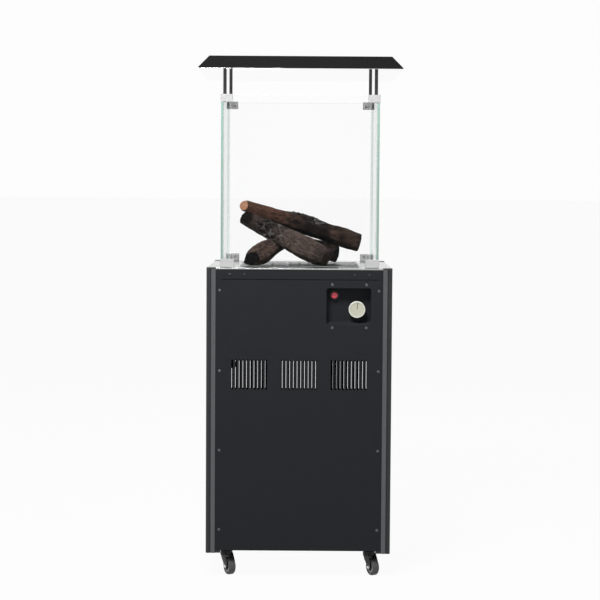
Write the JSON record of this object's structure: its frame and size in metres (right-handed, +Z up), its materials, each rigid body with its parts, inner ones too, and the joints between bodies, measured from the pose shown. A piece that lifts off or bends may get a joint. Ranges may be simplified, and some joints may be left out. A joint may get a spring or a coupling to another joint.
{
  "type": "gas patio heater",
  "caption": "Free-standing gas patio heater: slotted black cabinet on casters, square glass flame chamber with ceramic logs, and a low hood on rods.",
  "frame": {"origin": "on the floor, under the middle of the cabinet", "axes": "+Z up, the control side faces -Y"},
  "size_m": [0.584, 0.584, 1.5034],
  "materials": {
    "black_coat": "satin powder coat",
    "black_steel": "semi-gloss",
    "dark_enamel": "matt heat-resistant enamel",
    "stainless": "bright polished",
    "clamp_alloy": "satin cast",
    "brass": "machined",
    "copper": "drawn copper tube",
    "glass": "clear, green at the edges",
    "log_ceramic": "matt, painted as charred wood",
    "cream_plastic": "satin",
    "red_plastic": "gloss",
    "red_silicone": "satin",
    "black_plastic": "matt",
    "wheel_rubber": "matt"
  },
  "bodies": {
    "cabinet": {"base_plate": "black_coat", "post_front_left": "black_coat", "post_front_right": "black_coat", "post_rear_right": "black_coat", "post_rear_left": "black_coat", "rail_front": "black_coat", "rail_right": "black_coat", "rail_rear": "black_coat", "rail_left": "black_coat", "front_panel": "black_coat", "right_panel": "black_coat", "left_panel": "black_coat", "control_panel": "black_coat", "hinge_lower": "black_steel", "hinge_upper": "black_steel", "rod_front_left": "black_steel", "rod_front_right": "black_steel", "rod_rear_right": "black_steel", "rod_rear_left": "black_steel", "hood_shell": "black_steel", "burner_tray": "dark_enamel", "burner_cover": "dark_enamel", "deck_plate": "stainless", "burner": "stainless", "pilot_assembly": "stainless", "heat_reflector": "stainless", "clamp_bottom_front_left": "clamp_alloy", "clamp_bottom_front_right": "clamp_alloy", "clamp_bottom_rear_right": "clamp_alloy", "clamp_bottom_rear_left": "clamp_alloy", "clamp_top_front_left": "clamp_alloy", "clamp_top_front_right": "clamp_alloy", "clamp_top_rear_right": "clamp_alloy", "clamp_top_rear_left": "clamp_alloy", "gas_valve": "brass", "gas_pipe": "brass", "thermocouple_lead": "copper", "glass_front": "glass", "glass_right": "glass", "glass_rear": "glass", "glass_left": "glass", "log_rear": "log_ceramic", "log_lower_left": "log_ceramic", "log_front": "log_ceramic", "log_top": "log_ceramic", "ignition_lead": "red_silicone", "piezo_igniter": "black_plastic"},
    "swivel_front_left": {"caster_fork_front_left": "black_steel"},
    "wheel_front_left": {"caster_wheel_front_left": "wheel_rubber"},
    "swivel_front_right": {"caster_fork_front_right": "black_steel"},
    "wheel_front_right": {"caster_wheel_front_right": "wheel_rubber"},
    "swivel_rear_right": {"caster_fork_rear_right": "black_steel"},
    "wheel_rear_right": {"caster_wheel_rear_right": "wheel_rubber"},
    "swivel_rear_left": {"caster_fork_rear_left": "black_steel"},
    "wheel_rear_left": {"caster_wheel_rear_left": "wheel_rubber"},
    "spindle": {"valve_spindle": "brass"},
    "knob": {"knob": "cream_plastic"},
    "button": {"igniter_button": "red_plastic"},
    "door": {"rear_door": "black_coat", "door_pull": "black_plastic"}
  },
  "joints": [
    {"name": "swivel_front_left", "type": "hinge", "parent": "cabinet", "child": "swivel_front_left", "pos_m": [-0.209, -0.209, 0.0656], "axis": [0, 0, 1], "continuous": true},
    {"name": "roll_front_left", "type": "hinge", "parent": "swivel_front_left", "child": "wheel_front_left", "pos_m": [-0.19901, -0.2286, 0.025], "axis": [0.891, 0.454, 0], "continuous": true},
    {"name": "swivel_front_right", "type": "hinge", "parent": "cabinet", "child": "swivel_front_right", "pos_m": [0.209, -0.209, 0.0656], "axis": [0, 0, 1], "continuous": true},
    {"name": "roll_front_right", "type": "hinge", "parent": "swivel_front_right", "child": "wheel_front_right", "pos_m": [0.21899, -0.2286, 0.025], "axis": [0.891, 0.454, 0], "continuous": true},
    {"name": "swivel_rear_right", "type": "hinge", "parent": "cabinet", "child": "swivel_rear_right", "pos_m": [0.209, 0.209, 0.0656], "axis": [0, 0, 1], "continuous": true},
    {"name": "roll_rear_right", "type": "hinge", "parent": "swivel_rear_right", "child": "wheel_rear_right", "pos_m": [0.21899, 0.1894, 0.025], "axis": [0.891, 0.454, 0], "continuous": true},
    {"name": "swivel_rear_left", "type": "hinge", "parent": "cabinet", "child": "swivel_rear_left", "pos_m": [-0.209, 0.209, 0.0656], "axis": [0, 0, 1], "continuous": true},
    {"name": "roll_rear_left", "type": "hinge", "parent": "swivel_rear_left", "child": "wheel_rear_left", "pos_m": [-0.19901, 0.1894, 0.025], "axis": [0.891, 0.454, 0], "continuous": true},
    {"name": "valve_turn", "type": "hinge", "parent": "cabinet", "child": "spindle", "pos_m": [0.1665, -0.2365, 0.779], "axis": [0, -1, 0], "range_deg": [0, 200]},
    {"name": "knob_push", "type": "slide", "parent": "spindle", "child": "knob", "axis": [0, 1, 0], "range_m": [0, 0.004], "stiffness_N_per_m": 1200, "springref_m": -0.002},
    {"name": "button_push", "type": "slide", "parent": "cabinet", "child": "button", "axis": [0, 1, 0], "range_m": [0, 0.006], "stiffness_N_per_m": 1500, "springref_m": -0.002},
    {"name": "door_swing", "type": "hinge", "parent": "cabinet", "child": "door", "pos_m": [0.2405, 0.271, 0.47], "axis": [0, 0, -1], "range_deg": [0, 170]}
  ]
}
